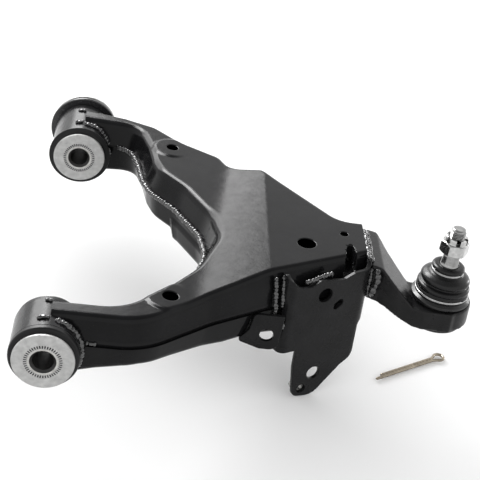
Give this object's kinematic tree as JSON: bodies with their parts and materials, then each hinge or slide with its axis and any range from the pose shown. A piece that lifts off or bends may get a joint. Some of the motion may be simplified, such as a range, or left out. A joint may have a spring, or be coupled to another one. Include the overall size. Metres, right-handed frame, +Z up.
{
  "type": "suspension control arm",
  "caption": "Pressed two-leg lower suspension arm with sprung pivot bushings, a folded front bracket and a forged end carrying a booted ball joint.",
  "frame": {"origin": "centre of the front bushing's bore, on the pivot axis", "axes": "+Y along the pivot axis from the front bushing to the rear one, +X outboard to the ball joint, +Z up, square to the pressed deck"},
  "size_m": [0.4189, 0.444, 0.1777],
  "materials": {
    "arm_paint": "gloss black coating",
    "tube_paint": "gloss black coating",
    "bracket_paint": "satin black coating",
    "forging_paint": "black coated forging",
    "housing_paint": "satin black coating",
    "weld_paint": "gloss black over weld beads",
    "outer_sleeve_steel": "black phosphated steel",
    "bushing_rubber": "moulded rubber",
    "boot_rubber": "satin moulded rubber",
    "sleeve_steel": "machined steel",
    "washer_zinc": "matte zinc plated steel",
    "nut_steel": "plain steel",
    "liner_plastic": "moulded bearing plastic",
    "clip_steel": "dark spring steel",
    "stud_zinc": "bright zinc plated steel",
    "nut_zinc": "bright zinc plated steel",
    "pin_steel": "plain drawn wire"
  },
  "bodies": {
    "arm": {"upper_shell": "arm_paint", "lower_shell": "arm_paint", "front_tube_ring": "tube_paint", "rear_tube_ring": "tube_paint", "front_outer_sleeve": "outer_sleeve_steel", "rear_outer_sleeve": "outer_sleeve_steel", "front_rubber": "bushing_rubber", "rear_rubber": "bushing_rubber", "front_bracket": "bracket_paint", "tie_tab": "bracket_paint", "weld_nut": "nut_steel", "forged_arm": "forging_paint", "ball_housing": "housing_paint", "bearing_liner": "liner_plastic", "pressure_seat": "sleeve_steel", "closing_plate": "housing_paint", "lower_boot_clip": "clip_steel", "front_tube_welds": "weld_paint", "rear_tube_welds": "weld_paint", "bracket_welds": "weld_paint", "forging_welds": "weld_paint", "seam_welds": "weld_paint"},
    "front_sleeve": {"front_inner_sleeve": "sleeve_steel", "front_washer_outer": "washer_zinc", "front_washer_inner": "washer_zinc"},
    "rear_sleeve": {"rear_inner_sleeve": "sleeve_steel", "rear_washer_outer": "washer_zinc", "rear_washer_inner": "washer_zinc"},
    "boot": {"dust_boot": "boot_rubber"},
    "boot_collar": {"upper_boot_clip": "clip_steel"},
    "stud": {"ball_stud": "stud_zinc"},
    "nut": {"castle_nut": "nut_zinc"},
    "pin": {"split_pin": "pin_steel"}
  },
  "joints": [
    {"name": "front_bushing_twist", "type": "hinge", "parent": "arm", "child": "front_sleeve", "pos_m": [0, 0, 0], "axis": [0, 1, 0], "range_deg": [-25, 25], "stiffness_Nm_per_rad": 45},
    {"name": "rear_bushing_twist", "type": "hinge", "parent": "arm", "child": "rear_sleeve", "pos_m": [0, 0.3715, 0], "axis": [0, 1, 0], "range_deg": [-25, 25], "stiffness_Nm_per_rad": 60},
    {"name": "ball_tilt_fore_aft", "type": "hinge", "parent": "arm", "child": "boot", "pos_m": [0.348, 0.119, 0], "axis": [0.9986, 0, -0.0523], "range_deg": [-15, 15], "deforming": ["dust_boot"]},
    {"name": "ball_tilt_in_out", "type": "hinge", "parent": "boot", "child": "boot_collar", "pos_m": [0.348, 0.119, 0], "axis": [0, 1, 0], "range_deg": [-15, 15]},
    {"name": "ball_spin", "type": "hinge", "parent": "boot_collar", "child": "stud", "pos_m": [0.348, 0.119, 0], "axis": [0.0523, 0, 0.9986], "continuous": true},
    {"name": "castle_nut_turn", "type": "hinge", "parent": "stud", "child": "nut", "pos_m": [0.35135, 0.119, 0.06391], "axis": [0.0523, 0, 0.9986], "continuous": true},
    {"name": "split_pin_lift", "type": "slide", "parent": "arm", "child": "pin", "axis": [0, 0, 1], "range_m": [0, 0.04]}
  ]
}
